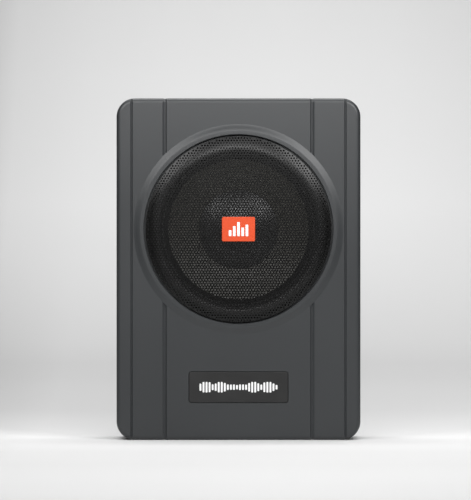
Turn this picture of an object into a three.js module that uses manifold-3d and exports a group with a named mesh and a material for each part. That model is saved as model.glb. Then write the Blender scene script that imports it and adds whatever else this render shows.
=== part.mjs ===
// Powered car subwoofer: a slim die-cast case with an 8 inch shallow driver behind a domed
// grille, an amplifier board below it and a recessed control panel in the right side.
// Millimetres. +Z up, the front faces -Y, and the case stands on its short end at z = 0.

import * as THREE from 'three';
import { mergeVertices } from 'three/addons/utils/BufferGeometryUtils.js';
import Module from 'manifold-3d';

const wasm = await Module();
wasm.setup();

// ---------------------------------------------------------------- driving dimensions
const caseWidth = 245;
const caseHeight = 343;
const cornerRadius = 18.5;
const edgeRadius = 4.5;
const sideWall = 3.5;
const frontWall = 3;
const gap = 0.3; // clearance left between pieces that touch
const round = 48; // facets round the grille bezel and the driver's large rings

// Depth planes, front to rear.
const badgeFrontY = -36;
const grilleFrontY = -34.6;
const panelY = -30;
const rimY = 33;
const footY = 36;
const innerFaceY = panelY + frontWall;

const axisZ = 211.6; // height of the driver's axis
const bezel = { bore: 95.4, flat: 100.5, foot: 105.8, rise: 2.4, ledgeY: -29.3, throat: 91.5 };
const grooves = [
  { x: 74.1, width: 3 },
  { x: 107.2, width: 2.4 },
];
const grooveDepth = 1;
const plateRecess = { width: 100, height: 31.6, corner: 3.2, depth: 1.4, z: 53.1 };

const mountRing = { outer: 107, rearY: -23 };
const driverScrews = { count: 6, radius: 99.5, hole: 2.1, shank: 1.6 };
const travel = 6; // the cone moves this far each way

const rebate = { inset: 2, y: 28.9 };
const basePlate = { inset: 2.3, frontY: 30.5, thickness: 2 };
const baseScrewPlaces = [
  [-111, 11.5], [0, 9], [111, 11.5],
  [-113.5, 165], [113.5, 165],
  [-111, caseHeight - 11.5], [0, caseHeight - 9], [111, caseHeight - 11.5],
];
const footPlaces = [[-92, 30], [92, 30], [-92, caseHeight - 30], [92, caseHeight - 30]];

// Control panel window in the right wall, and the tray that fills it.
const panelWindow = { y: 0, z: 68, depth: 40, length: 96, corner: 3 };
const tray = { wall: 1.8, floorX: 113.5, floorThickness: 2 };
const knobRowY = -9.5;
const socketRowY = 8.5;

// ---------------------------------------------------------------- materials
const material = (color, roughness, metalness) =>
  new THREE.MeshStandardMaterial({ color, roughness, metalness });
const casePaint = material(0x4a4b4d, 0.55, 0.4);
const blackPaint = material(0x191a1b, 0.6, 0.3);
const blackPlastic = material(0x1a1a1b, 0.5, 0);
const badgeOrange = material(0xf2542d, 0.35, 0);
const rubber = material(0x161616, 0.85, 0);
const foam = material(0x202020, 0.95, 0);
const conePulp = material(0x1d1d1c, 0.8, 0);
const spiderCloth = material(0xb08a45, 0.9, 0);
const zincSteel = material(0xb9bcc0, 0.35, 0.9);
const ferrite = material(0x2b2b2e, 0.6, 0.2);
const copper = material(0xb8622f, 0.35, 0.9);
const aluminium = material(0xa9acb0, 0.4, 0.9);
const boardGreen = material(0x1d5a35, 0.5, 0);
const nickel = material(0xc9c6bd, 0.25, 0.95);
const ledBlue = material(0x3d7bd8, 0.2, 0);
const fuseBlue = material(0x2c62c4, 0.25, 0);

// ---------------------------------------------------------------- solids and booleans
function solid(geometry) {
  const bare = geometry.index ? geometry.toNonIndexed() : geometry.clone();
  bare.deleteAttribute('normal');
  bare.deleteAttribute('uv');
  const merged = mergeVertices(bare, 1e-3);
  const mesh = new wasm.Mesh({
    numProp: 3,
    vertProperties: merged.attributes.position.array,
    triVerts: new Uint32Array(merged.index.array),
  });
  return new wasm.Manifold(mesh);
}

function geometryOf(shape) {
  const mesh = shape.getMesh();
  const position = new Float32Array(mesh.numVert * 3);
  for (let i = 0; i < mesh.numVert; i++) {
    position.set(mesh.vertProperties.subarray(i * mesh.numProp, i * mesh.numProp + 3), i * 3);
  }
  const geometry = new THREE.BufferGeometry();
  geometry.setAttribute('position', new THREE.BufferAttribute(position, 3));
  geometry.setIndex(new THREE.BufferAttribute(mesh.triVerts, 1));
  geometry.computeVertexNormals();
  return geometry;
}

const joined = (shapes) => shapes.reduce((all, shape) => all.add(shape));
const cutBy = (body, tools) => tools.reduce((left, tool) => left.subtract(tool), body);

// A block between two opposite corners.
function block(low, high) {
  const size = high.map((value, i) => value - low[i]);
  const geometry = new THREE.BoxGeometry(...size);
  geometry.translate(...low.map((value, i) => value + size[i] / 2));
  return solid(geometry);
}

// A closed profile of [radius, along] turned about the Y axis.
function turned(profile, segments) {
  const area = profile.reduce((sum, [r, y], i) => {
    const [nextR, nextY] = profile[(i + 1) % profile.length];
    return sum + r * nextY - nextR * y;
  }, 0);
  const ordered = area > 0 ? profile : [...profile].reverse();
  const points = [...ordered, ordered[0]].map(([r, y]) => new THREE.Vector2(r, y));
  return new THREE.LatheGeometry(points, segments);
}

// The same profile turned about a line along +X through (y, z).
function turnedAlongX(profile, segments, y, z) {
  const geometry = turned(profile, segments);
  geometry.rotateZ(-Math.PI / 2);
  geometry.translate(0, y, z);
  return solid(geometry);
}

// A cylinder along Y, standing at (x, z).
function postY(radius, fromY, toY, x, z, segments = 20) {
  const geometry = new THREE.CylinderGeometry(radius, radius, toY - fromY, segments);
  geometry.translate(x, (fromY + toY) / 2, z);
  return solid(geometry);
}

function roundedRectangle(width, height, radius) {
  const x = width / 2 - radius;
  const y = height / 2 - radius;
  const shape = new THREE.Shape();
  shape.absarc(x, y, radius, 0, Math.PI / 2);
  shape.absarc(-x, y, radius, Math.PI / 2, Math.PI);
  shape.absarc(-x, -y, radius, Math.PI, Math.PI * 1.5);
  shape.absarc(x, -y, radius, Math.PI * 1.5, Math.PI * 2);
  return shape;
}

// A flat shape drawn in X and Z, from one depth to another. Its middle is at (0, z).
function plate(shape, frontY, rearY, z, curveSegments = 4) {
  const depth = rearY - frontY;
  const geometry = new THREE.ExtrudeGeometry(shape, { depth, bevelEnabled: false, curveSegments });
  geometry.rotateX(Math.PI / 2);
  geometry.translate(0, rearY, z);
  return solid(geometry);
}

// A flat shape drawn in Y and Z, from one x to another, about (y, z).
function sidePlate(shape, fromX, toX, y, z, curveSegments = 3) {
  const depth = toX - fromX;
  const geometry = new THREE.ExtrudeGeometry(shape, { depth, bevelEnabled: false, curveSegments });
  const turn = new THREE.Matrix4().makeBasis(
    new THREE.Vector3(0, 1, 0),
    new THREE.Vector3(0, 0, 1),
    new THREE.Vector3(1, 0, 0),
  );
  geometry.applyMatrix4(turn);
  geometry.translate(fromX, y, z);
  return solid(geometry);
}

// The case's outline with a rounded front edge, inset all round, cut off flat at rearY.
function filletedBlock(inset, edge, frontY, rearY) {
  const width = caseWidth - 2 * inset;
  const height = caseHeight - 2 * inset;
  const shape = roundedRectangle(width, height, cornerRadius - inset);
  const geometry = new THREE.ExtrudeGeometry(shape, {
    depth: rearY - frontY,
    bevelThickness: edge,
    bevelSize: edge,
    bevelOffset: -edge,
    bevelSegments: 3,
    curveSegments: 6,
  });
  geometry.rotateX(Math.PI / 2);
  geometry.translate(0, rearY + edge, caseHeight / 2);
  const front = block([-caseWidth, frontY - 1, -1], [caseWidth, rearY, caseHeight + 1]);
  return solid(geometry).intersect(front);
}

// A Y-axis ring that stands on the driver's axis.
function axisRing(inner, outer, frontY, rearY, segments) {
  const ring = turned([[inner, frontY], [outer, frontY], [outer, rearY], [inner, rearY]], segments);
  ring.translate(0, 0, axisZ);
  return solid(ring);
}

const spots = (count, radius, startDegrees) =>
  Array.from({ length: count }, (_, i) => {
    const angle = THREE.MathUtils.degToRad(startDegrees + (i * 360) / count);
    return [radius * Math.cos(angle), radius * Math.sin(angle)];
  });

// ---------------------------------------------------------------- the group and its meshes
const subwoofer = new THREE.Group();
const enclosure = new THREE.Group();
const driver = new THREE.Group();
driver.position.set(0, 0, axisZ);
const amplifier = new THREE.Group();
subwoofer.add(enclosure, driver, amplifier);

function addPart(parent, name, shape, look) {
  const geometry = shape.isBufferGeometry ? shape : geometryOf(shape);
  const mesh = new THREE.Mesh(geometry, look);
  mesh.name = name;
  parent.add(mesh);
  return mesh;
}

// ---------------------------------------------------------------- front shell
function grooveCuts() {
  const inside = filletedBlock(grooveDepth, edgeRadius - grooveDepth, panelY + grooveDepth, rimY + 2);
  return grooves.flatMap(({ x, width }) =>
    [-x, x].map((middle) =>
      block(
        [middle - width / 2, panelY - 1, -1],
        [middle + width / 2, rimY + 1, caseHeight + 1],
      ).subtract(inside),
    ),
  );
}

function bezelRing() {
  const ring = turned(
    [
      [bezel.throat, innerFaceY],
      [bezel.foot, innerFaceY],
      [bezel.foot, panelY],
      [bezel.flat, panelY - bezel.rise],
      [bezel.throat, panelY - bezel.rise],
    ],
    round,
  );
  ring.translate(0, 0, axisZ);
  return solid(ring);
}

function makeFrontShell() {
  const screwBosses = baseScrewPlaces.map(([x, z]) => postY(5.8, innerFaceY - 1, rebate.y, x, z, 12));
  const boardPosts = [[-88, 24], [88, 24], [-88, 92], [88, 92]].map(([x, z]) =>
    postY(3.5, innerFaceY - 1, 18.7, x, z, 8),
  );
  const cavity = filletedBlock(sideWall, 1.5, innerFaceY, rimY + 2);
  const outside = filletedBlock(0, edgeRadius, panelY, rimY);
  const hollow = cutBy(outside, [cavity, ...grooveCuts()]);
  const walled = joined([
    hollow,
    bezelRing(),
    axisRing(bezel.throat, mountRing.outer, innerFaceY - 0.5, mountRing.rearY, round),
    ...screwBosses.map((boss) => boss.intersect(outside)),
    ...boardPosts,
  ]);
  const rebateShape = roundedRectangle(
    caseWidth - 2 * rebate.inset,
    caseHeight - 2 * rebate.inset,
    cornerRadius - rebate.inset,
  );
  const screwHoles = spots(driverScrews.count, driverScrews.radius, 0).map(([x, z]) =>
    postY(2, -28, mountRing.rearY + 1, x, axisZ + z, 8),
  );
  const bossHoles = baseScrewPlaces.map(([x, z]) => postY(2, 14, rimY + 1, x, z, 8));
  const recess = roundedRectangle(plateRecess.width, plateRecess.height, plateRecess.corner);
  const window = roundedRectangle(panelWindow.depth, panelWindow.length, panelWindow.corner);
  return cutBy(walled, [
    axisRing(0, bezel.bore, panelY - 10, bezel.ledgeY, round),
    axisRing(0, bezel.throat, panelY - 10, mountRing.rearY + 1, round),
    plate(rebateShape, rebate.y, rimY + 1, caseHeight / 2, 6),
    plate(recess, panelY - 1, panelY + plateRecess.depth, plateRecess.z, 4),
    sidePlate(window, caseWidth / 2 - 12, caseWidth / 2 + 5, panelWindow.y, panelWindow.z),
    ...screwHoles,
    ...bossHoles,
  ]);
}
addPart(enclosure, 'front_shell', makeFrontShell(), casePaint);

// ---------------------------------------------------------------- base, gasket, feet, screws
function insetOutline(inset) {
  return roundedRectangle(caseWidth - 2 * inset, caseHeight - 2 * inset, cornerRadius - inset);
}

function makeBasePlate() {
  const rearY = basePlate.frontY + basePlate.thickness;
  const flat = plate(insetOutline(basePlate.inset), basePlate.frontY, rearY, caseHeight / 2, 6);
  const rib = roundedRectangle(9, 190, 4.4);
  const ribs = [-48, 0, 48].map((x) =>
    plate(rib, rearY - 0.5, rearY + 1.2, caseHeight / 2, 3).translate([x, 0, 0]),
  );
  const holes = baseScrewPlaces.map(([x, z]) => postY(2.3, 29, 36, x, z, 8));
  return cutBy(joined([flat, ...ribs]), holes);
}
addPart(enclosure, 'base_plate', makeBasePlate(), blackPaint);

const gasketRing = plate(insetOutline(2.4), rebate.y + gap, basePlate.frontY - gap, caseHeight / 2, 6);
const gasketHole = plate(insetOutline(6.3), 28, 32, caseHeight / 2, 6);
addPart(enclosure, 'base_gasket', gasketRing.subtract(gasketHole), foam);

// A flanged screw along Y. Its head's underside is at y = 0.
function screwBlank(headRadius, headHeight, shankRadius, shankLength, facets) {
  const profile = [
    [0, headHeight],
    [headRadius * 0.75, headHeight],
    [headRadius, 0],
    [shankRadius, 0],
    [shankRadius, -shankLength],
    [0, -shankLength],
  ];
  return turned(profile, facets);
}

// The base screws have a cross recess.
function crossScrew(headRadius, headHeight, shankRadius, shankLength) {
  const slot = headRadius * 0.62;
  const arm = 0.45;
  const deep = headHeight * 0.45;
  const cross = block([-slot, deep, -arm], [slot, headHeight + 1, arm]).add(
    block([-arm, deep, -slot], [arm, headHeight + 1, slot]),
  );
  return solid(screwBlank(headRadius, headHeight, shankRadius, shankLength, 10)).subtract(cross);
}

const baseScrew = geometryOf(crossScrew(3.8, 1.9, 1.6, 12));
baseScrewPlaces.forEach(([x, z], i) => {
  const screw = addPart(enclosure, `base_screw_${i + 1}`, baseScrew, zincSteel);
  screw.position.set(x, basePlate.frontY + basePlate.thickness + gap, z);
});

const footBase = basePlate.frontY + basePlate.thickness + gap;
const foot = turned(
  [[0, footBase], [12, footBase], [12, footY - 0.8], [11.2, footY], [0, footY]],
  16,
);
footPlaces.forEach(([x, z], i) => {
  addPart(enclosure, `rubber_foot_${i + 1}`, foot, rubber).position.set(x, 0, z);
});

// ---------------------------------------------------------------- grille, badge, nameplate
const grilleProfile = [
  [0, grilleFrontY],
  [84, grilleFrontY],
  [93, grilleFrontY + 4],
  [94.6, grilleFrontY + 4],
  [94.6, grilleFrontY + 5],
  [92.7, grilleFrontY + 5],
  [83.8, grilleFrontY + 1],
  [0, grilleFrontY + 1],
];
addPart(driver, 'grille', turned(grilleProfile, round), blackPaint);

const badge = plate(roundedRectangle(34, 25, 1.6), badgeFrontY, grilleFrontY - gap, 0);
addPart(driver, 'grille_badge', badge, badgeOrange);

const nameplate = plate(
  roundedRectangle(plateRecess.width - 0.8, plateRecess.height - 0.8, plateRecess.corner - 0.4),
  panelY - 0.3,
  panelY + plateRecess.depth - gap,
  plateRecess.z,
);
addPart(enclosure, 'nameplate', nameplate, blackPlastic);

// ---------------------------------------------------------------- driver: fixed pieces
const flangeY = -20.9;
const lipFrontY = -22;
const lipThickness = 0.8;
const screwAngles = spots(driverScrews.count, driverScrews.radius, 0);

const basketProfile = [
  [104, flangeY],
  [104, flangeY + 1.5],
  [90.7, flangeY + 1.5],
  [78.5, 0],
  [61.5, 0],
  [61.5, 7.7],
  [30, 7.7],
  [30, 6.2],
  [60, 6.2],
  [60, -1.5],
  [77.6, -1.5],
  [89.5, flangeY],
];

function makeBasket() {
  const windows = spots(6, 1, 30).map(([cosine, sine]) => {
    const opening = new THREE.BoxGeometry(34, 12, 60);
    opening.translate(84, -10, 0);
    opening.rotateY(-Math.atan2(sine, cosine));
    return solid(opening);
  });
  const holes = screwAngles.map(([x, z]) => postY(driverScrews.hole, -24, -18, x, z, 8));
  return cutBy(solid(turned(basketProfile, 30)), [...windows, ...holes]);
}
addPart(driver, 'basket', makeBasket(), blackPaint);

const mountingGasket = solid(
  turned([[95.4, -22.7], [103, -22.7], [103, flangeY - gap], [95.4, flangeY - gap]], 30),
);
const gasketHoles = screwAngles.map(([x, z]) => postY(driverScrews.hole, -24, -18, x, z, 8));
addPart(driver, 'mounting_gasket', cutBy(mountingGasket, gasketHoles), foam);

const driverScrew = screwBlank(3.6, 1.8, driverScrews.shank, 8.4, 8);
screwAngles.forEach(([x, z], i) => {
  const screw = addPart(driver, `driver_screw_${i + 1}`, driverScrew, zincSteel);
  screw.position.set(x, flangeY + 1.5 + gap, z);
});

const gapPlate = { inner: 28.2, outer: 50, frontY: 8, rearY: 13 };
const magnetRearY = 23;
const yokeRearY = 29;
addPart(
  driver,
  'top_plate',
  turned(
    [
      [gapPlate.inner, gapPlate.frontY],
      [gapPlate.outer, gapPlate.frontY],
      [gapPlate.outer, gapPlate.rearY],
      [gapPlate.inner, gapPlate.rearY],
    ],
    24,
  ),
  zincSteel,
);
addPart(
  driver,
  'magnet',
  turned(
    [[32, gapPlate.rearY + gap], [55, gapPlate.rearY + gap], [55, magnetRearY], [32, magnetRearY]],
    24,
  ),
  ferrite,
);
addPart(
  driver,
  'yoke',
  turned(
    [
      [8, gapPlate.frontY],
      [24.6, gapPlate.frontY],
      [24.6, magnetRearY + gap],
      [50, magnetRearY + gap],
      [50, yokeRearY - 1],
      [49, yokeRearY],
      [8, yokeRearY],
    ],
    24,
  ),
  zincSteel,
);

const strip = block([-13, -19.1, -103], [13, -17.5, -93]);
const tabs = [-8, 8].map((x) => block([x - 2, -17.6, -101], [x + 2, -13, -100.2]));
addPart(driver, 'terminal_strip', joined([strip, ...tabs]), boardGreen);

// ---------------------------------------------------------------- driver: moving pieces
const cone = { edge: 70.5, edgeY: -20.9, capRadius: 39.5, capY: -10.2, neck: 26.3, neckY: -4.6 };
const paper = 0.9;

addPart(
  driver,
  'cone',
  turned(
    [
      [75.5, cone.edgeY],
      [cone.edge, cone.edgeY],
      [cone.capRadius, cone.capY],
      [cone.neck, cone.neckY],
      [cone.neck, cone.neckY + paper],
      [cone.capRadius, cone.capY + paper],
      [cone.edge, cone.edgeY + paper],
      [75.5, cone.edgeY + paper],
    ],
    36,
  ),
  conePulp,
);

// The dome is an arc of a circle from its apex to its glued rim, which follows the cone.
function domeProfile(rimRadius, rimY, height, thickness, steps) {
  const sphere = (rimRadius ** 2 + height ** 2) / (2 * height);
  const centreY = rimY - height + sphere;
  const sweep = Math.asin(rimRadius / sphere);
  const arc = (radius, order) =>
    Array.from({ length: steps + 1 }, (_, i) => {
      const angle = (sweep * (order > 0 ? i : steps - i)) / steps;
      return [radius * Math.sin(angle), centreY - radius * Math.cos(angle)];
    });
  return [...arc(sphere, 1), ...arc(sphere - thickness, -1)];
}
addPart(driver, 'dust_cap', turned(domeProfile(39.5, -11.3, 9.5, 0.8, 4), 30), conePulp);

const former = { inner: 25.4, outer: 26, frontY: -6.4, rearY: 15.5 };
addPart(
  driver,
  'coil_former',
  turned(
    [
      [former.inner, former.frontY],
      [former.outer, former.frontY],
      [former.outer, former.rearY],
      [former.inner, former.rearY],
    ],
    24,
  ),
  aluminium,
);
addPart(
  driver,
  'coil_winding',
  turned([[26.3, 5], [27.4, 5], [27.4, 15], [26.3, 15]], 24),
  copper,
);

// The surround's half roll between a glued inner lip and a clamped outer lip.
const roll = { inner: 76.6, outer: 90, lipInner: 71, lipOuter: 94.2 };

function surroundProfile(steps) {
  const middle = (roll.inner + roll.outer) / 2;
  const radius = (roll.outer - roll.inner) / 2;
  const baseY = lipFrontY + lipThickness;
  const arc = (size, order) =>
    Array.from({ length: steps + 1 }, (_, i) => {
      const angle = (Math.PI * (order > 0 ? i : steps - i)) / steps;
      return [middle - size * Math.cos(angle), lipFrontY - size * Math.sin(angle)];
    });
  return [
    [roll.lipInner, lipFrontY],
    ...arc(radius, 1),
    [roll.lipOuter, lipFrontY],
    [roll.lipOuter, baseY],
    [roll.outer - lipThickness, baseY],
    ...arc(radius - lipThickness, -1),
    [roll.inner + lipThickness, baseY],
    [roll.lipInner, baseY],
  ];
}
addPart(driver, 'surround', turned(surroundProfile(5), 36), rubber);

// The spider's rings of corrugation, from the former out to its flat glued edge.
const spider = { inner: 26.3, waveStart: 30, waveEnd: 62, outer: 72, y: -2.4, wave: 0.9, turns: 4 };

function spiderProfile() {
  const stepsPerTurn = 2;
  const count = spider.turns * stepsPerTurn;
  const wave = Array.from({ length: count + 1 }, (_, i) => [
    spider.waveStart + ((spider.waveEnd - spider.waveStart) * i) / count,
    spider.y + (i % 2 === 0 ? -spider.wave : spider.wave),
  ]);
  const front = [[spider.inner, spider.y], ...wave, [spider.outer, spider.y]];
  const back = front.map(([r, y]) => [r, y + 0.6]).reverse();
  return [...front, ...back];
}
addPart(driver, 'spider', turned(spiderProfile(), 24), spiderCloth);

// Two braided leads from the cone's back to the terminal strip.
function tinselLead(x) {
  const path = new THREE.CatmullRomCurve3([
    new THREE.Vector3(x, -10, -46),
    new THREE.Vector3(x, -6.4, -58),
    new THREE.Vector3(x, -6.2, -72),
    new THREE.Vector3(x, -9.5, -86),
    new THREE.Vector3(x, -13.5, -95),
    new THREE.Vector3(x, -16.2, -98),
  ]);
  const section = new THREE.Shape();
  section.absarc(0, 0, 0.8, 0, Math.PI * 2);
  return new THREE.ExtrudeGeometry(section, { steps: 9, extrudePath: path, curveSegments: 3 });
}
[-8, 8].forEach((x, i) => addPart(driver, `tinsel_lead_${i + 1}`, tinselLead(x), copper));

// ---------------------------------------------------------------- amplifier
const board = { frontY: 19, rearY: 20.6 };
const boardSolid = block([-96, board.frontY, 16], [97, board.rearY, 100]);
addPart(amplifier, 'amp_board', boardSolid, boardGreen);

const barFoot = block([-75, innerFaceY + gap, 78], [75, innerFaceY + 4, 98]);
const barWall = block([-75, innerFaceY + 3, 93], [75, board.frontY - 5, 98]);
addPart(amplifier, 'heatsink_bar', barFoot.add(barWall), aluminium);

const toroid = new THREE.TorusGeometry(15, 7, 8, 16);
toroid.rotateX(Math.PI / 2);
addPart(amplifier, 'toroid_inductor', toroid, copper).position.set(-60, board.frontY - 7.4, 46);

const capacitorHeight = 30;
[-18, 6, 30].forEach((x, i) => {
  const can = new THREE.CylinderGeometry(9, 9, capacitorHeight, 16);
  const capacitor = addPart(amplifier, `capacitor_${i + 1}`, can, blackPlastic);
  capacitor.position.set(x, board.frontY - gap - capacitorHeight / 2, 38);
});

// ---------------------------------------------------------------- control panel
const knobs = [
  { name: 'level', z: 104 },
  { name: 'lowpass', z: 84 },
  { name: 'bass', z: 64 },
];
const phaseSwitch = { z: 45, slot: [3.6, 9], travel: 4 };
const led = { z: 31, radius: 1.6 };
const fuseZ = 107.5;
const sockets = {
  power_socket: { z: 89.5, width: 12, length: 21, pins: 4, reach: 119.5 },
  high_level_socket: { z: 69.5, width: 10, length: 15, pins: 4, reach: 118.5 },
  remote_jack: { z: 27.8, width: 9.2, length: 9.2, pins: 0, reach: 117.5 },
};
const rcaPlaces = [52.5, 38.5];
const floorBackX = tray.floorX - tray.floorThickness;

function rectangleHole(z, width, length, y) {
  return block(
    [floorBackX - 1, y - width / 2, z - length / 2],
    [tray.floorX + 1, y + width / 2, z + length / 2],
  );
}

function roundHole(radius, y, z, segments = 14) {
  const profile = [
    [0, floorBackX - 1],
    [radius, floorBackX - 1],
    [radius, tray.floorX + 1],
    [0, tray.floorX + 1],
  ];
  return turnedAlongX(profile, segments, y, z);
}

function makeControlPanel() {
  const outline = (inset) =>
    roundedRectangle(
      panelWindow.depth - 2 * inset,
      panelWindow.length - 2 * inset,
      panelWindow.corner - inset * 0.5,
    );
  const at = [panelWindow.y, panelWindow.z];
  const flange = sidePlate(outline(-3), 117.2, caseWidth / 2 - sideWall - gap, ...at);
  const tub = sidePlate(outline(gap), floorBackX, caseWidth / 2 - gap, ...at);
  const hollow = sidePlate(outline(gap + tray.wall), tray.floorX, caseWidth / 2 + 1, ...at);
  const socketHoles = Object.values(sockets).map(({ z, width, length }) =>
    rectangleHole(z, width + 2 * gap, length + 2 * gap, socketRowY),
  );
  return cutBy(tub.add(flange), [
    hollow,
    ...knobs.map(({ z }) => roundHole(3.4, knobRowY, z)),
    ...rcaPlaces.map((z) => roundHole(4.6, socketRowY, z)),
    roundHole(led.radius + gap, knobRowY, led.z, 10),
    rectangleHole(phaseSwitch.z, ...phaseSwitch.slot, knobRowY),
    rectangleHole(fuseZ, 4.8, 11.4, socketRowY),
    ...socketHoles,
  ]);
}
addPart(amplifier, 'control_panel', makeControlPanel(), blackPlastic);

// Each knob has an integral shaft that runs back into its potentiometer.
function makeKnob(z) {
  const baseX = tray.floorX + gap;
  const topX = 120.8;
  const body = turnedAlongX(
    [
      [0, floorBackX - 3],
      [3, floorBackX - 3],
      [3, baseX],
      [6, baseX],
      [6, baseX + 1.4],
      [5.2, baseX + 1.8],
      [4.9, topX - 0.6],
      [4.3, topX],
      [0, topX],
    ],
    14,
    knobRowY,
    z,
  );
  const pointer = block([topX - 0.8, knobRowY - 0.5, z + 0.6], [topX + 1, knobRowY + 0.5, z + 6]);
  return body.subtract(pointer);
}

function makePot(z) {
  const body = block(
    [floorBackX - 8.3, knobRowY - 5.5, z - 5.5],
    [floorBackX - gap, knobRowY + 5.5, z + 5.5],
  );
  const bore = [
    [0, floorBackX - 3 - gap],
    [3.3, floorBackX - 3 - gap],
    [3.3, floorBackX + 1],
    [0, floorBackX + 1],
  ];
  return body.subtract(turnedAlongX(bore, 14, knobRowY, z));
}
knobs.forEach(({ name, z }) => {
  addPart(amplifier, `${name}_knob`, makeKnob(z), blackPlastic);
  addPart(amplifier, `${name}_pot`, makePot(z), zincSteel);
});

// A slide switch: a housing behind the floor with a slot, and a tab that slides up it.
const tabHalf = 1.4;
const tabLowZ = phaseSwitch.z - phaseSwitch.travel / 2;
const switchHousing = block(
  [floorBackX - 6, knobRowY - 3.6, phaseSwitch.z - 7],
  [floorBackX - gap, knobRowY + 3.6, phaseSwitch.z + 7],
).subtract(
  block(
    [floorBackX - 3, knobRowY - phaseSwitch.slot[0] / 2, phaseSwitch.z - phaseSwitch.slot[1] / 2],
    [floorBackX + 1, knobRowY + phaseSwitch.slot[0] / 2, phaseSwitch.z + phaseSwitch.slot[1] / 2],
  ),
);
addPart(amplifier, 'phase_switch_housing', switchHousing, blackPlastic);
const tab = block(
  [floorBackX - 2.4, knobRowY - tabHalf, tabLowZ - tabHalf],
  [tray.floorX + 3.2, knobRowY + tabHalf, tabLowZ + tabHalf],
);
addPart(amplifier, 'phase_switch_tab', tab, nickel);

const ledProfile = [
  [0, floorBackX - 4],
  [led.radius, floorBackX - 4],
  [led.radius, tray.floorX + 0.4],
  [led.radius * 0.75, tray.floorX + 1.3],
  [0, tray.floorX + 1.7],
];
addPart(amplifier, 'power_led', turnedAlongX(ledProfile, 12, knobRowY, led.z), ledBlue);

// A phono jack: a nickel barrel with a centre bore, on a block behind the floor.
function makePhonoJack(z) {
  const barrel = [
    [0, 100],
    [4.2, 100],
    [4.2, tray.floorX + gap],
    [4.1, 121.3],
    [0, 121.3],
  ];
  const bore = [
    [0, 112],
    [1.7, 112],
    [1.7, 123],
    [0, 123],
  ];
  const housing = block(
    [100, socketRowY - 5.6, z - 5.6],
    [floorBackX - gap, socketRowY + 5.6, z + 5.6],
  );
  return turnedAlongX(barrel, 14, socketRowY, z)
    .add(housing)
    .subtract(turnedAlongX(bore, 12, socketRowY, z));
}
rcaPlaces.forEach((z, i) =>
  addPart(amplifier, ['phono_jack_right', 'phono_jack_left'][i], makePhonoJack(z), nickel),
);

// A shrouded socket with a row of contacts in its cavity.
function makeSocket({ z, width, length, pins, reach }) {
  const shroud = 1.4;
  const cavityX = reach - 10;
  const body = block(
    [102, socketRowY - width / 2, z - length / 2],
    [reach, socketRowY + width / 2, z + length / 2],
  );
  const cavity = block(
    [cavityX, socketRowY - width / 2 + shroud, z - length / 2 + shroud],
    [reach + 1, socketRowY + width / 2 - shroud, z + length / 2 - shroud],
  );
  const contacts = Array.from({ length: pins }, (_, i) => {
    const pinZ = z + ((i - (pins - 1) / 2) * (length - 2 * shroud)) / pins;
    return block([cavityX - 1, socketRowY - 1.4, pinZ - 0.5], [cavityX + 4.5, socketRowY + 1.4, pinZ + 0.5]);
  });
  return joined([body.subtract(cavity), ...contacts]);
}
Object.entries(sockets).forEach(([name, socket]) =>
  addPart(amplifier, name, makeSocket(socket), blackPlastic),
);

// A blade fuse: a plastic head and two blades that run back through the floor.
const fuseHead = block([tray.floorX + gap, socketRowY - 2.1, fuseZ - 5.4], [119.8, socketRowY + 2.1, fuseZ + 5.4]);
const fuseBlades = [-3.6, 3.6].map((offset) =>
  block(
    [106, socketRowY - 0.4, fuseZ + offset - 1.4],
    [tray.floorX + 1, socketRowY + 0.4, fuseZ + offset + 1.4],
  ),
);
addPart(amplifier, 'blade_fuse', joined([fuseHead, ...fuseBlades]), fuseBlue);

export default subwoofer;
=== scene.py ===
from math import asin, cos, exp, hypot, pi, radians, sin, sqrt

import bmesh
import bpy
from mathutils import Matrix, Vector


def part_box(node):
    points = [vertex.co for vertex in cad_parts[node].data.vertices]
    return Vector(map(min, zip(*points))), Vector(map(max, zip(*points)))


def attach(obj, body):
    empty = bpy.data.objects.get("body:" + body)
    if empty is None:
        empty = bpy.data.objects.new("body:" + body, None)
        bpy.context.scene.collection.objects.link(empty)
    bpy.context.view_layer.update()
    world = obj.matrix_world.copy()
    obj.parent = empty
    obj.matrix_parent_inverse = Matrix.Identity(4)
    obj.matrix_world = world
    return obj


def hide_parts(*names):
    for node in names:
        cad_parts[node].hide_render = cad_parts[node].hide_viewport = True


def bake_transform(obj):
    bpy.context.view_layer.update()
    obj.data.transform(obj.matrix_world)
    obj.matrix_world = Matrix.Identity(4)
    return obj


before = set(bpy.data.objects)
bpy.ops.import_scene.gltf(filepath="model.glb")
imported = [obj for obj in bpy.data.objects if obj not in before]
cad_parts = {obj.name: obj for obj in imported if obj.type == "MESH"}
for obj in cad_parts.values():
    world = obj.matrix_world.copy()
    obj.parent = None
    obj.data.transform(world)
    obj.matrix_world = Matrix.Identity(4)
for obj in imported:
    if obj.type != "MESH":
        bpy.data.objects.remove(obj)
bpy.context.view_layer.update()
mm = 0.001


def span(node):
    # a CAD node's lowest and highest corners, in millimetres
    low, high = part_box(node)
    return low / mm, high / mm


def middle(node):
    low, high = span(node)
    return (low + high) / 2


def linked(name, data):
    made = bpy.data.objects.new(name, data)
    bpy.context.scene.collection.objects.link(made)
    return made


# camera and framing, in millimetres
frontView = {"distance": 3000, "nearY": -25.5, "eyeHeight": 190.7, "aside": -3.0, "frameHeight": 502.2, "sensor": 36}

cameraData = bpy.data.cameras.new("frontCamera")
cameraData.sensor_width = frontView["sensor"]
cameraData.lens = frontView["sensor"] * frontView["distance"] / frontView["frameHeight"]
cameraData.clip_end = 50
camera = linked("frontCamera", cameraData)
eyeY = frontView["nearY"] - frontView["distance"]
camera.location = Vector((frontView["aside"], eyeY, frontView["eyeHeight"])) * mm
camera.rotation_euler = (radians(90), 0, 0)
bpy.context.scene.camera = camera
bpy.context.scene.view_settings.view_transform = "Standard"


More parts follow.
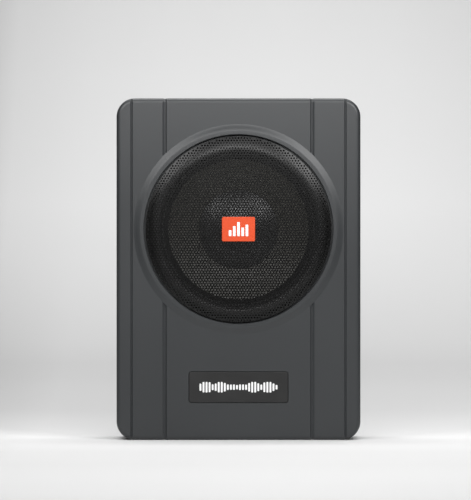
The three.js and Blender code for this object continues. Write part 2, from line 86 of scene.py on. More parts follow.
# shader sockets as Python expressions
class Sock:
    def __init__(self, look, out):
        self.look = look
        self.out = out

    def math(self, operation, first, second):
        return self.look.node("ShaderNodeMath", {"operation": operation}, {0: first, 1: second})

    def __add__(self, other):
        return self.math("ADD", self, other)

    __radd__ = __add__

    def __sub__(self, other):
        return self.math("SUBTRACT", self, other)

    def __rsub__(self, other):
        return self.math("SUBTRACT", other, self)

    def __mul__(self, other):
        return self.math("MULTIPLY", self, other)

    __rmul__ = __mul__

    def __truediv__(self, other):
        return self.math("DIVIDE", self, other)

    def __pow__(self, other):
        return self.math("POWER", self, other)

    def sine(self):
        return self.look.node("ShaderNodeMath", {"operation": "SINE"}, {0: self})


class Look:
    def __init__(self, name, **fixed):
        self.material = bpy.data.materials.new(name)
        self.material.use_nodes = True
        self.tree = self.material.node_tree
        self.shader = self.tree.nodes["Principled BSDF"]
        for label, value in fixed.items():
            self.feed(self.shader.inputs[label.replace("_", " ")], value)

    def feed(self, socket, value):
        if isinstance(value, Sock):
            self.tree.links.new(value.out, socket)
        else:
            socket.default_value = value

    def node(self, kind, settings=None, sockets=None, out=0):
        made = self.tree.nodes.new(kind)
        for key, value in (settings or {}).items():
            if key == "stops":
                ramp = made.color_ramp
                while len(ramp.elements) < len(value):
                    ramp.elements.new(0.5)
                for element, (place, colour) in zip(ramp.elements, value):
                    element.position = place
                    element.color = colour
            else:
                setattr(made, key, value)
        for key, value in (sockets or {}).items():
            self.feed(made.inputs[key], value)
        return Sock(self, made.outputs[out])

    def place(self):
        return self.node("ShaderNodeTexCoord", out="Object")

    def axes(self):
        parts = self.node("ShaderNodeSeparateXYZ", sockets={0: self.place()})
        return parts, Sock(self, parts.out.node.outputs[1]), Sock(self, parts.out.node.outputs[2])

    def noise(self, scale, detail=2.0, roughness=0.5, vector=None):
        sockets = {"Vector": vector or self.place(), "Scale": scale, "Detail": detail, "Roughness": roughness}
        return self.node("ShaderNodeTexNoise", sockets=sockets)

    def stretched(self, scale):
        # object coordinates scaled along each axis, for drawn and turned grain
        return self.node("ShaderNodeVectorMath", {"operation": "MULTIPLY"}, {0: self.place(), 1: scale})

    def between(self, mask, first, second):
        return self.node("ShaderNodeMix", {"data_type": "RGBA"}, {0: mask, 6: first, 7: second}, out=2)

    def mixed(self, value, low, high, first, second):
        return self.between(self.limited(value, low, high), first, second)

    def limited(self, value, low=0.0, high=1.0):
        sockets = {"Value": value, "From Min": low, "From Max": high, "To Min": 0.0, "To Max": 1.0}
        return self.node("ShaderNodeMapRange", {"clamp": True}, sockets)

    def relief(self, height, strength, distance):
        bump = self.node("ShaderNodeBump", sockets={"Strength": strength, "Distance": distance, "Height": height})
        self.feed(self.shader.inputs["Normal"], bump)

    def dressed(self, colour, roughness, *bump):
        # what every finish ends with: its colour, its roughness and its relief
        self.feed(self.shader.inputs["Base Color"], colour)
        self.feed(self.shader.inputs["Roughness"], roughness)
        if bump:
            self.relief(*bump)
        return self.material


def grey(value):
    return (value, value, value, 1)


# finishes that several pieces share the build of
def coatedFinish(name, dark, light, roughness, grain=900, relief=0.25, gloss=0.5):
    look = Look(name, Specular_IOR_Level=gloss)
    fine = look.noise(grain, 3, 0.6)
    broad = look.noise(9, 2, 0.5)
    tone = look.mixed(0.55 * fine + 0.45 * broad, 0.3, 0.7, dark, light)
    return look.dressed(tone, roughness + 0.10 * (fine - 0.5) + 0.06 * (broad - 0.5), fine, relief, 0.00006)


def mouldedFinish(name, dark, light, roughness, grain=1500, relief=0.3):
    look = Look(name)
    cells = look.node("ShaderNodeTexVoronoi", sockets={"Vector": look.place(), "Scale": grain})
    cloud = look.noise(40, 3, 0.6)
    tone = look.mixed(cloud, 0.35, 0.65, dark, light)
    return look.dressed(tone, roughness + 0.12 * (cloud - 0.5), cells, relief, 0.00005)


def metalFinish(name, dark, light, roughness, stretch=(300, 3000, 3000), relief=0.08):
    look = Look(name, Metallic=1.0)
    lines = look.noise(1.0, 3, 0.6, vector=look.stretched(stretch))
    cloud = look.noise(60, 2, 0.5)
    tone = look.mixed(0.6 * lines + 0.4 * cloud, 0.3, 0.7, dark, light)
    return look.dressed(tone, roughness + 0.18 * (lines - 0.5) + 0.08 * (cloud - 0.5), lines, relief, 0.00004)


def softFinish(name, dark, light, roughness, grain, relief, gloss=0.5):
    look = Look(name, Specular_IOR_Level=gloss)
    grainy = look.noise(grain, 4, 0.65)
    cloud = look.noise(grain * 0.04, 2, 0.5)
    tone = look.mixed(0.5 * grainy + 0.5 * cloud, 0.35, 0.65, dark, light)
    return look.dressed(tone, roughness + 0.1 * (cloud - 0.5), grainy, relief, 0.0001)


def turnedFinish(name, dark, light, roughness, x, z, rings):
    # fine rings about an axis along Y, as a lathe or a winding leaves; x and z are in metres
    look = Look(name, Metallic=1.0)
    parts = look.axes()
    radius = ((parts[0] - x) * (parts[0] - x) + (parts[2] - z) * (parts[2] - z)) ** 0.5
    ring = (radius * (rings * 2 * pi)).sine()
    cloud = look.noise(80, 2, 0.5)
    tone = look.mixed(0.25 * ring + cloud, 0.2, 0.8, dark, light)
    return look.dressed(tone, roughness + 0.06 * ring + 0.1 * (cloud - 0.5), ring, 0.1, 0.00004)


# mesh code shared by the pieces; lengths are in millimetres
def outline(width, height, radius, steps=12):
    points = []
    for quarter, (across, up) in enumerate(((1, 1), (-1, 1), (-1, -1), (1, -1))):
        for i in range(steps + 1):
            angle = (quarter + i / steps) * pi / 2
            u = across * (width / 2 - radius) + radius * cos(angle)
            v = up * (height / 2 - radius) + radius * sin(angle)
            points.append((u, v))
    return points


def frontPlace(x, z):
    return lambda u, v, depth: (x + u, depth, z + v)


def sidePlace(y, z):
    return lambda u, v, depth: (depth, y + u, z + v)


def frontAt(node):
    spot = middle(node)
    return frontPlace(spot.x, spot.z)


def sideAt(node):
    spot = middle(node)
    return sidePlace(spot.y, spot.z)


def newObject(name, bm):
    bmesh.ops.recalc_face_normals(bm, faces=bm.faces[:])
    return keptObject(name, bm)


def keptObject(name, bm):
    # faces stay turned the way they are
    mesh = bpy.data.meshes.new(name)
    bm.to_mesh(mesh)
    bm.free()
    return linked(name, mesh)


def skinned(name, rows):
    # a skin over rows of points, in metres, with both ends capped
    bm = bmesh.new()
    rows = [[bm.verts.new(point) for point in row] for row in rows]
    for first, second in zip(rows, rows[1:]):
        for i in range(len(first)):
            j = (i + 1) % len(first)
            bm.faces.new((first[i], first[j], second[j], second[i]))
    bm.faces.new(rows[0][::-1])
    bm.faces.new(rows[-1])
    return newObject(name, bm)


def lofted(name, rings, place):
    # each ring is (points, depth)
    return skinned(name, [[Vector(place(u, v, depth)) * mm for u, v in points] for points, depth in rings])


def stacked(wide, tall, steps, rows):
    # rings of one outline, from rows of (growth, corner radius, depth)
    return [(outline(wide + grow, tall + grow, radius, steps), depth) for grow, radius, depth in rows]


def soften(points, steps=4):
    # rounds each corner that carries a third number, its radius
    out = []
    for i, (x, y, *rest) in enumerate(points):
        if not rest:
            out.append((x, y))
            continue
        sides = []
        for other in (points[i - 1], points[(i + 1) % len(points)]):
            dx, dy = other[0] - x, other[1] - y
            sides.append((dx, dy, hypot(dx, dy)))
        reach = min(rest[0], 0.48 * sides[0][2], 0.48 * sides[1][2])
        (sx, sy), (ex, ey) = ((x + dx / far * reach, y + dy / far * reach) for dx, dy, far in sides)
        for k in range(steps + 1):
            t = k / steps
            first, mid, last = (1 - t) ** 2, 2 * t * (1 - t), t * t
            out.append((first * sx + mid * x + last * ex, first * sy + mid * y + last * ey))
    return out


def turned(name, profile, place, segments=128, flutes=None):
    # profile is (radius, depth); a point at radius 0 is on the axis, otherwise the profile closes
    bm = bmesh.new()
    rows = []
    for radius, depth in profile:
        if radius == 0:
            rows.append([bm.verts.new(Vector(place(0, 0, depth)) * mm)])
            continue
        row = []
        for i in range(segments):
            angle = i / segments * 2 * pi
            size = radius
            if flutes and flutes["from"] < depth < flutes["to"] and radius > flutes["beyond"]:
                size -= flutes["depth"] * max(0.0, cos(flutes["count"] * angle)) ** 2
            spot = place(size * cos(angle), size * sin(angle), depth)
            row.append(bm.verts.new(Vector(spot) * mm))
        rows.append(row)
    pairs = list(zip(rows, rows[1:]))
    if profile[0][0] != 0:
        pairs.append((rows[-1], rows[0]))
    for first, second in pairs:
        for i in range(segments):
            j = (i + 1) % segments
            near = [first[k % len(first)] for k in (i, j)]
            far = [second[k % len(second)] for k in (j, i)]
            corners = list(dict.fromkeys(near + far))
            if len(corners) > 2:
                bm.faces.new(corners)
    return newObject(name, bm)


def rod(name, radius, low, high, place, segments):
    return turned(name, [(0, low), (radius, low), (radius, high), (0, high)], place, segments)


def boxed(name, low, high, rounding):
    # a block with rounded edges, between two corners
    bm = bmesh.new()
    bmesh.ops.create_cube(bm, size=1.0)
    for vert in bm.verts:
        vert.co = Vector([low[i] + (vert.co[i] + 0.5) * (high[i] - low[i]) for i in range(3)]) * mm
    bmesh.ops.bevel(bm, geom=bm.edges[:], offset=rounding * mm, segments=2, profile=0.5, affect="EDGES")
    return newObject(name, bm)


def merged(name, parts):
    bm = bmesh.new()
    for part in parts:
        part.data.transform(part.matrix_world)
        bm.from_mesh(part.data)
        bpy.data.objects.remove(part)
    return keptObject(name, bm)


def baked(base):
    # puts the result of base's modifiers into its mesh
    bpy.context.view_layer.update()
    result = bpy.data.meshes.new_from_object(base.evaluated_get(bpy.context.evaluated_depsgraph_get()))
    base.modifiers.clear()
    base.data = result


def worked(base, tool, operation):
    # joins or cuts base with the tool, and bakes the result into base's mesh
    change = base.modifiers.new("work", "BOOLEAN")
    change.object = tool
    change.operation = operation
    change.solver = "MANIFOLD"
    baked(base)
    bpy.data.objects.remove(tool)


def finished(piece, body, material, nodes=(), crease=38, flatFaces=True):
    piece.data.materials.clear()
    piece.data.materials.append(material)
    piece.data.polygons.foreach_set("use_smooth", [True] * len(piece.data.polygons))
    piece.data.set_sharp_from_angle(angle=radians(crease))
    if flatFaces:
        weighting = piece.modifiers.new("flatFaces", "WEIGHTED_NORMAL")
        weighting.keep_sharp = True
    if body:
        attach(piece, body)
    if nodes:
        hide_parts(*nodes)
    return piece


# the finishes
axis = middle("grille")
casePaint = coatedFinish("casePaint", (0.0245, 0.0265, 0.0283, 1), (0.0320, 0.0345, 0.0366, 1), 0.40, 1100, 0.2)
grilleCoat = coatedFinish("grilleCoat", grey(0.004), grey(0.007), 0.27, 1600, 0.06, 0.26)
plateCoat = coatedFinish("plateCoat", grey(0.018), grey(0.028), 0.5, 700, 0.35)
basketCoat = coatedFinish("basketCoat", grey(0.014), grey(0.022), 0.5, 700, 0.3)
panelPlastic = mouldedFinish("panelPlastic", grey(0.012), grey(0.019), 0.5)
knobPlastic = mouldedFinish("knobPlastic", grey(0.016), grey(0.024), 0.42, 2200, 0.15)
socketPlastic = mouldedFinish("socketPlastic", grey(0.013), grey(0.022), 0.38, 1800, 0.15)
namePlastic = mouldedFinish("namePlastic", grey(0.007), grey(0.010), 0.46, 2600, 0.08)
badgeLacquer = coatedFinish("badgeLacquer", (0.60, 0.060, 0.012, 1), (0.66, 0.070, 0.015, 1), 0.34, 1800, 0.05)
whitePrint = coatedFinish("whitePrint", grey(0.80), grey(0.88), 0.45, 1800, 0.1)
tickPrint = coatedFinish("tickPrint", grey(0.55), grey(0.66), 0.5, 1800, 0.1)
footRubber = softFinish("footRubber", grey(0.010), grey(0.017), 0.8, 1800, 0.3)
rollRubber = softFinish("rollRubber", grey(0.050), grey(0.062), 0.42, 1200, 0.15)
sealFoam = softFinish("sealFoam", grey(0.014), grey(0.03), 0.95, 2200, 0.8)
conePaper = softFinish("conePaper", (0.088, 0.085, 0.074, 1), (0.118, 0.114, 0.100, 1), 0.40, 500, 0.3, 0.7)
capPaper = softFinish("capPaper", grey(0.060), grey(0.080), 0.30, 600, 0.15, 1.0)
zincPlate = metalFinish("zincPlate", (0.46, 0.47, 0.49, 1), (0.62, 0.63, 0.65, 1), 0.32)
rolledAluminium = metalFinish("rolledAluminium", (0.60, 0.61, 0.62, 1), (0.74, 0.75, 0.76, 1), 0.36)
nickelPlate = metalFinish("nickelPlate", (0.62, 0.58, 0.52, 1), (0.74, 0.70, 0.63, 1), 0.22, (900, 900, 900), 0.05)
turnedSteel = turnedFinish("turnedSteel", grey(0.42), grey(0.60), 0.34, axis.x * mm, axis.z * mm, 1400)
firedFerrite = softFinish("firedFerrite", grey(0.022), grey(0.045), 0.6, 900, 0.25)
woundCopper = turnedFinish("woundCopper", (0.42, 0.13, 0.04, 1), (0.66, 0.26, 0.09, 1), 0.3, 0, 0, 900)


def boardFinish():
    # solder mask with copper tracks showing through
    look = Look("solderMask", Coat_Roughness=0.15)
    sockets = {"Vector": look.place(), "Scale": 160.0, "Mortar Size": 0.03, "Brick Width": 0.8, "Row Height": 0.5}
    tracks = look.node("ShaderNodeTexBrick", sockets=sockets, out=1)
    cloud = look.noise(300, 2, 0.5)
    tone = look.mixed(tracks + 0.2 * (cloud - 0.5), 0.2, 0.8, (0.008, 0.085, 0.03, 1), (0.02, 0.15, 0.05, 1))
    return look.dressed(tone, 0.34 + 0.1 * cloud, tracks, 0.2, 0.00004)


def weaveFinish():
    # resin-stiffened cloth
    look = Look("spiderCloth")
    parts = look.axes()
    warp = (parts[0] * 9000.0).sine()
    weft = (parts[2] * 9000.0).sine()
    threads = look.limited(warp * weft, -1.0, 1.0)
    tone = look.between(threads, (0.30, 0.18, 0.05, 1), (0.50, 0.33, 0.12, 1))
    return look.dressed(tone, 0.82 + 0.1 * (threads - 0.5), threads, 0.5, 0.0001)


def braidFinish():
    look = Look("tinselBraid", Metallic=1.0)
    settings = {"wave_type": "BANDS", "bands_direction": "DIAGONAL"}
    strand = look.node("ShaderNodeTexWave", settings, {"Vector": look.place(), "Scale": 900.0, "Distortion": 1.5})
    tone = look.between(strand, (0.40, 0.20, 0.09, 1), (0.72, 0.45, 0.25, 1))
    return look.dressed(tone, 0.34 + 0.2 * strand, strand, 0.5, 0.0001)


def lensFinish(name, tint, deep, glow=0.0):
    look = Look(name, IOR=1.5, Coat_Weight=0.4, Emission_Strength=glow)
    cloud = look.noise(400, 2, 0.5)
    if glow:
        look.feed(look.shader.inputs["Emission Color"], tint)
    return look.dressed(look.mixed(cloud, 0.3, 0.7, deep, tint), 0.12 + 0.1 * cloud, cloud, 0.05, 0.00005)


def sleeveFinish():
    # heat-shrunk sleeve with a pale stripe down one side of each can
    look = Look("canSleeve")
    stripe = (look.axes()[0] * 262.0).sine()
    cloud = look.noise(300, 2, 0.5)
    tone = look.mixed(stripe, 0.93, 0.95, grey(0.014), grey(0.35))
    return look.dressed(tone, 0.3 + 0.1 * cloud, cloud, 0.1, 0.00005)


solderMask = boardFinish()
spiderCloth = weaveFinish()
tinselBraid = braidFinish()
ledLens = lensFinish("ledLens", (0.10, 0.32, 0.95, 1), (0.04, 0.14, 0.6, 1), 1.5)
fusePlastic = lensFinish("fusePlastic", (0.04, 0.17, 0.75, 1), (0.02, 0.09, 0.5, 1))
canSleeve = sleeveFinish()
leftRing = lensFinish("leftRing", (0.80, 0.80, 0.78, 1), (0.70, 0.70, 0.68, 1))
rightRing = lensFinish("rightRing", (0.62, 0.02, 0.02, 1), (0.5, 0.012, 0.012, 1))
print("finishes made")


# the case; a name that ends in From is a depth along Y, and the bezel's radii are from the driver's axis
case = {
    "cornerRadius": 18.5,
    "cornerSteps": 14,
    "edgeRadius": 4.5,
    "sideWall": 3.5,
    "frontWall": 3.0,
    "rebateInset": 2.0,
    "rebateDepth": 4.1,
    "endDepth": 0.35,
    "outerGroove": {"x": 107.3, "width": 2.5, "floor": 0.3, "depth": 1.1, "lean": 0.0},
    "innerGroove": {"x": 74.1, "width": 4.3, "floor": 0.9, "depth": 1.5, "lean": 0.45},
    "bezelFlat": 98.7,
    "bezelFoot": 105.5,
    "bezelRise": 2.4,
    "slopeEase": 0.2,
    "throat": 91.5,
    "bore": 94.9,
    "ledge": 93.3,
    "ledgeDepth": 0.7,
    "channelDepth": 4.2,
    "mountRadius": 107,
    "gasketGap": 0.3,
    "bossRadius": 5.4,
    "bossHole": 1.9,
    "bossHoleFrom": 14,
    "driverHole": 2.0,
    "driverHoleFrom": -28,
    "postRadius": 3.5,
    "postX": 88,
    "postZ": (24, 92),
    "pocketGap": 0.8,
    "windowWide": 40,
    "windowTall": 96,
}
screwCount = 8
driverScrewCount = 6
caseLow, caseHigh = span("front_shell")
panelY = caseLow.y + case["bezelRise"]
rimY = caseHigh.y
caseWidth = caseHigh.x - caseLow.x
caseHeight = caseHigh.z - caseLow.z
caseMidZ = (caseHigh.z + caseLow.z) / 2
innerY = panelY + case["frontWall"]


def caseOutline(inset):
    wide, tall, radius = caseWidth - 2 * inset, caseHeight - 2 * inset, case["cornerRadius"] - inset
    return outline(wide, tall, radius, case["cornerSteps"])


def caseRings():
    edge = case["edgeRadius"]
    wall, rebate = case["sideWall"], case["rebateInset"]
    rebateY = rimY - case["rebateDepth"]
    # (inset, depth), from the front round the outside, over the rim and down the inside
    rows = []
    for i in range(11):
        angle = i / 10 * pi / 2
        rows.append((edge * (1 - sin(angle)), panelY + edge * (1 - cos(angle))))
    rows += [(0, rimY - 0.4), (0.12, rimY - 0.12), (0.4, rimY), (rebate - 0.3, rimY), (rebate, rimY - 0.3)]
    rows += [(rebate, rebateY), (wall, rebateY)]
    rows += [(wall, innerY + 1.5), (wall + 0.5, innerY + 0.5), (wall + 1.5, innerY)]
    return [(caseOutline(inset), depth) for inset, depth in rows]


def grooveTool(side, groove):
    # a cutter that follows the case over its front and down both ends
    edge = case["edgeRadius"]
    # it gets shallower round the long edge, where each end leaves an outline without notches
    path = [(rimY + 2, caseLow.z, 0, -1, case["endDepth"])]
    for i in range(9):
        turn = i / 8
        angle = turn * pi / 2
        y = panelY + edge * (1 - sin(angle))
        z = caseLow.z + edge * (1 - cos(angle))
        deep = case["endDepth"] + (groove["depth"] - case["endDepth"]) * turn
        path.append((y, z, -sin(angle), -cos(angle), deep))
    path += [(y, caseLow.z + caseHigh.z - z, ny, -nz, deep) for y, z, ny, nz, deep in reversed(path)]
    x = side * groove["x"]
    half = groove["width"] / 2
    # the floor sits towards the middle of the case, so the inner wall is the steeper one
    floorLeft = -side * groove["lean"] - groove["floor"] / 2
    floorRight = floorLeft + groove["floor"]
    over = 0.7
    rows = []
    for y, z, ny, nz, deep in path:
        section = [
            (-half - over * (half + floorLeft) / deep, over), (floorLeft, -deep),
            (floorRight, -deep), (half + over * (half - floorRight) / deep, over),
        ]
        rows.append([Vector((x + u, y + ny * v, z + nz * v)) * mm for u, v in section])
    return skinned("grooveTool", rows)


def bezelSlope(outer, inner, low, high, steps=16):
    # an eased slope, softer where it meets the panel and the flat
    points = []
    for i in range(steps + 1):
        t = i / steps
        eased = t - case["slopeEase"] * sin(2 * pi * t) / (2 * pi)
        points.append((outer + (inner - outer) * t, low + (high - low) * eased))
    return points


def nodePlaces(prefix, count):
    return [frontAt(f"{prefix}_{i}") for i in range(1, count + 1)]


def addRings(shell, top, core, ringRear):
    # the bezel in front and the driver's mounting ring behind
    foot = case["bezelFoot"]
    root = panelY + 0.4
    profile = [(core, innerY - 0.5), (foot - 3, innerY - 0.5), (foot - 3, root), (foot, root)]
    profile += bezelSlope(foot, case["bezelFlat"], panelY, top) + [(core, top)]
    worked(shell, turned("bezelTool", profile, frontAt("grille"), 180), "UNION")
    inner, outer, front = core + 2, case["mountRadius"], innerY - 0.6
    ring = [(inner, front), (outer, front), (outer, ringRear), (inner, ringRear)]
    worked(shell, turned("mountTool", ring, frontAt("grille"), 120), "UNION")


def addBosses(shell):
    # one boss for each base screw, and the four posts that hold the amplifier board
    root = innerY - 0.4
    bosses = []
    for place in nodePlaces("base_screw", screwCount):
        bosses.append(rod("boss", case["bossRadius"], root, rimY - case["rebateDepth"], place, 32))
    for x in (-case["postX"], case["postX"]):
        for z in case["postZ"]:
            bosses.append(rod("post", case["postRadius"], root, span("amp_board")[0].y, frontPlace(x, z), 24))
    worked(shell, merged("bossTools", bosses), "UNION")


def cutBore(shell, top, ringRear):
    # from the front: a rounded lip, the channel round the grille, its ledge, and the throat
    radius, ledge, throat = case["bore"], case["ledge"], case["throat"]
    floor, step, end = panelY + case["channelDepth"], panelY + case["ledgeDepth"], ringRear + 1
    bore = [(0, top - 5), (radius + 3, top - 5), (radius + 0.5, top - 0.02), (radius, top + 0.5), (radius, floor)]
    bore += [(ledge, floor), (ledge, step), (throat, step), (throat, end), (0, end)]
    worked(shell, turned("boreTool", bore, frontAt("grille"), 180), "DIFFERENCE")
    holes = []
    for place in nodePlaces("base_screw", screwCount):
        holes.append(rod("hole", case["bossHole"], case["bossHoleFrom"], rimY + 1, place, 20))
    for place in nodePlaces("driver_screw", driverScrewCount):
        holes.append(rod("hole", case["driverHole"], case["driverHoleFrom"], ringRear + 1, place, 20))
    worked(shell, merged("holeTools", holes), "DIFFERENCE")


def cutOpenings(shell):
    # the name panel's pocket and the control panel's window
    low, high = span("nameplate")
    wide = high.x - low.x + case["pocketGap"]
    tall = high.z - low.z + case["pocketGap"]
    rows = [(1.6, 4.0, panelY - 0.6), (0.4, 3.4, panelY), (0, 3.2, panelY + 0.3), (0, 3.2, panelY + 1.4)]
    worked(shell, lofted("pocketTool", stacked(wide, tall, 10, rows), frontAt("nameplate")), "DIFFERENCE")
    wallX = caseHigh.x
    rows = [(0, 3.0, wallX - 12), (0, 3.0, wallX - 0.7), (0.5, 3.25, wallX - 0.2), (2.5, 4.2, wallX + 0.8)]
    window = stacked(case["windowWide"], case["windowTall"], 8, rows)
    worked(shell, lofted("windowTool", window, sideAt("control_panel")), "DIFFERENCE")


def makeCase():
    shell = lofted("caseShell", caseRings(), frontPlace(0, caseMidZ))
    grooves = [grooveTool(side, case[key]) for key in ("outerGroove", "innerGroove") for side in (-1, 1)]
    worked(shell, merged("grooveTools", grooves), "DIFFERENCE")
    top = panelY - case["bezelRise"]
    core = case["throat"] - 8  # added rings start inside the bore, which then trims them
    ringRear = span("mounting_gasket")[0].y - case["gasketGap"]
    addRings(shell, top, core, ringRear)
    addBosses(shell)
    cutBore(shell, top, ringRear)
    cutOpenings(shell)
    finished(shell, "case", casePaint, ["front_shell"], crease=30)


makeCase()
print("case shell made")


# the perforated grille: one six-sided cell round each hole
grilleSheet = {
    "pitch": 2.93,
    "holeRadius": 1.0,
    "sides": 8,
    "holesTo": 92.4,
    "edge": 92.8,
    "foldRadius": 83.4,
    "slope": 0.37,
    "foldSoftness": 3.0,
    "thickness": 0.7,
    "rimInset": 0.3,
    "rimOutset": 0.2,
}


def sheetDepth(radius, front, rear):
    past = radius - grilleSheet["foldRadius"]
    lift = (sqrt(past * past + grilleSheet["foldSoftness"] ** 2) + past) / 2
    return min(front + grilleSheet["slope"] * lift, rear - 1.0)


def spotsRound(centre, radius, count):
    turns = [radians(30 + 360 / count * k) for k in range(count)]
    return [(centre[0] + radius * cos(a), centre[1] + radius * sin(a)) for a in turns]


def heldWithin(spot, limit):
    far = hypot(*spot)
    return (spot[0] * limit / far, spot[1] * limit / far) if far > limit else spot


def fillCell(bm, corners, hole):
    # a strip of triangles between the cell's six corners and its hole
    sides = len(hole)
    i = j = 0
    while i < 6 or j < sides:
        if j == sides or (i < 6 and (i + 1) / 6 <= (j + 1) / sides):
            bm.faces.new((corners[i % 6], corners[(i + 1) % 6], hole[j % sides]))
            i += 1
        else:
            bm.faces.new((corners[i % 6], hole[(j + 1) % sides], hole[j % sides]))
            j += 1


def perforated(low, high):
    pitch, edge, holesTo = (grilleSheet[key] for key in ("pitch", "edge", "holesTo"))
    rowStep = pitch * sqrt(3) / 2
    bm = bmesh.new()
    known = {}

    def onSheet(spot):
        y = sheetDepth(hypot(*spot), low.y, high.y)
        return bm.verts.new(Vector((axis.x + spot[0], y, axis.z + spot[1])) * mm)

    def corner(spot):
        # cells that meet share their corners
        spot = heldWithin(spot, edge)
        key = (round(spot[0], 3), round(spot[1], 3))
        if key not in known:
            known[key] = onSheet(spot)
        return known[key]

    rows = int(edge / rowStep) + 2
    for row in range(-rows, rows + 1):
        for column in range(-rows, rows + 1):
            centre = ((column + 0.5 * (row % 2)) * pitch, row * rowStep)
            cell = spotsRound(centre, pitch / sqrt(3), 6)
            if min(hypot(*spot) for spot in cell) > edge - 0.2:
                continue
            corners = [corner(spot) for spot in cell]
            if hypot(*centre) > holesTo - 0.25:
                # a plain cell at the edge, where its corners can fall together
                distinct = list(dict.fromkeys(corners))
                if len(distinct) > 2:
                    bm.faces.new(distinct)
                continue
            ring = spotsRound(centre, grilleSheet["holeRadius"], grilleSheet["sides"])
            fillCell(bm, corners, [onSheet(heldWithin(spot, holesTo)) for spot in ring])
    bmesh.ops.recalc_face_normals(bm, faces=bm.faces[:])
    if sum(face.normal.y for face in bm.faces) > 0:
        bmesh.ops.reverse_faces(bm, faces=bm.faces[:])
    return keptObject("grilleSheet", bm)


def makeGrille():
    low, high = span("grille")
    sheet = perforated(low, high)
    thick = sheet.modifiers.new("thickness", "SOLIDIFY")
    thick.thickness = grilleSheet["thickness"] * mm
    thick.offset = -1
    baked(sheet)
    finished(sheet, "case", grilleCoat, ["grille"], crease=30, flatFaces=False)
    # the folded rim that stands on the case's ledge
    edge = grilleSheet["edge"]
    front = sheetDepth(edge, low.y, high.y)
    inside, outside = edge - grilleSheet["rimInset"], edge + grilleSheet["rimOutset"]
    profile = [(inside, front + 0.1), (edge - 0.05, front + 0.15), (outside, front + 0.5)]
    profile += [(outside, high.y), (inside, high.y)]
    rim = turned("grilleRim", profile, frontAt("grille"), 160)
    finished(rim, "case", grilleCoat, crease=30, flatFaces=False)


makeGrille()
print("grille made")


# the badge and its plain level bars
badge = {
    "corner": 1.6,
    "edge": 0.35,
    "inset": 0.45,
    "raised": 0.12,
    "bars": (6.0, 10.0, 14.0, 8.5, 11.5),
    "barWidth": 2.7,
    "barPitch": 4.2,
    "barCorner": 0.5,
}
# the name panel with a plain wave of bars
nameBars = {
    "corner": 2.8,
    "edge": 0.4,
    "raised": 0.12,
    "count": 26,
    "barWidth": 1.95,
    "barPitch": 3.05,
    "barCorner": 0.85,
    "tallest": 10.7,
    "shortest": 2.2,
}


def rise(name, wide, tall, corner, edge, place, rear, front):
    # a plate with a softly rounded front edge
    rings = [(outline(wide, tall, corner, 8), rear), (outline(wide, tall, corner, 8), front + edge)]
    for i in range(1, 5):
        angle = i / 4 * pi / 2
        inset = edge * (1 - cos(angle))
        size = max(corner - inset, 0.05)
        rings.append((outline(wide - 2 * inset, tall - 2 * inset, size, 8), front + edge * (1 - sin(angle))))
    return lofted(name, rings, place)


def motif(name, node, look, talls, onBase):
    # a row of printed bars, standing on one line or centred on it
    front = span(node)[0].y
    rear = front + look["raised"] + 0.05
    at = middle(node)
    bars = []
    for i, tall in enumerate(talls):
        x = at.x + (i - (len(talls) - 1) / 2) * look["barPitch"]
        z = at.z - max(talls) / 2 + tall / 2 if onBase else at.z
        bars.append(rise("bar", look["barWidth"], tall, look["barCorner"], 0.05, frontPlace(x, z), rear, front))
    return merged(name, bars)


def makeBadge():
    low, high = span("grille_badge")
    inset = badge["inset"]
    wide, tall = high.x - low.x - 2 * inset, high.z - low.z - inset
    front = low.y + badge["raised"]
    plate = rise("badgePlate", wide, tall, badge["corner"], badge["edge"], frontAt("grille_badge"), high.y, front)
    finished(plate, "case", badgeLacquer, ["grille_badge"])
    bars = motif("badgeBars", "grille_badge", badge, badge["bars"], True)
    finished(bars, "case", whitePrint)


def makeNameplate():
    low, high = span("nameplate")
    wide, tall = high.x - low.x, high.z - low.z
    front = low.y + nameBars["raised"]
    plate = rise("namePanel", wide, tall, nameBars["corner"], nameBars["edge"], frontAt("nameplate"), high.y, front)
    finished(plate, "case", namePlastic, ["nameplate"])
    talls = []
    for i in range(nameBars["count"]):
        swing = abs(sin(0.61 * i + 0.5) * cos(0.19 * i - 0.7))
        share = min(1.0, 0.25 + 0.95 * swing)
        talls.append(nameBars["shortest"] + (nameBars["tallest"] - nameBars["shortest"]) * share)
    bars = motif("nameBars", "nameplate", nameBars, talls, False)
    finished(bars, "case", whitePrint)


makeBadge()
makeNameplate()
print("badge and name panel made")


# the driver's moving pieces, seen through the grille; radii are from its axis
driver = {
    "segments": 144,
    "coneEdge": 70.5,
    "lip": 75.5,
    "neck": 26.3,
    "paper": 0.9,
    "bowlDepth": 10.7,
    "wallCurve": 0.10,
    "ribsAt": (0.33, 0.62),
    "ribHeight": 0.35,
    "capRadius": 39.5,
    "capRise": 9.5,
    "capPaper": 0.8,
}
roll = {"inner": 76.6, "outer": 90.0, "innerLip": 71.0, "outerLip": 94.2, "rubber": 0.8}
# a black ring over the roll's inner lip, darker than the roll
darkRing = {"inner": 70.6, "outer": 75.5, "rise": 0.3, "sink": 0.2}
spider = {
    "inner": 26.4,
    "cup": 61,
    "outer": 72,
    "innerY": -0.2,
    "outerY": -2.4,
    "waves": 6,
    "waveHeight": 0.35,
    "cloth": 0.5,
}
# places along a lead are (height from the driver's axis, depth along Y)
lead = {
    "radius": 0.8,
    "route": ((-46, -10), (-58, -6.4), (-72, -6.2), (-86, -9.5), (-95, -13.5), (-98, -16.2)),
    "bendFrom": (-96, -16.2),
    "bendTo": (-48, -10),
}


def driverPiece(name, profile, material, node):
    made = turned(name, profile, frontAt("grille"), driver["segments"])
    finished(made, "cone_assembly", material, [node], 40, flatFaces=False)


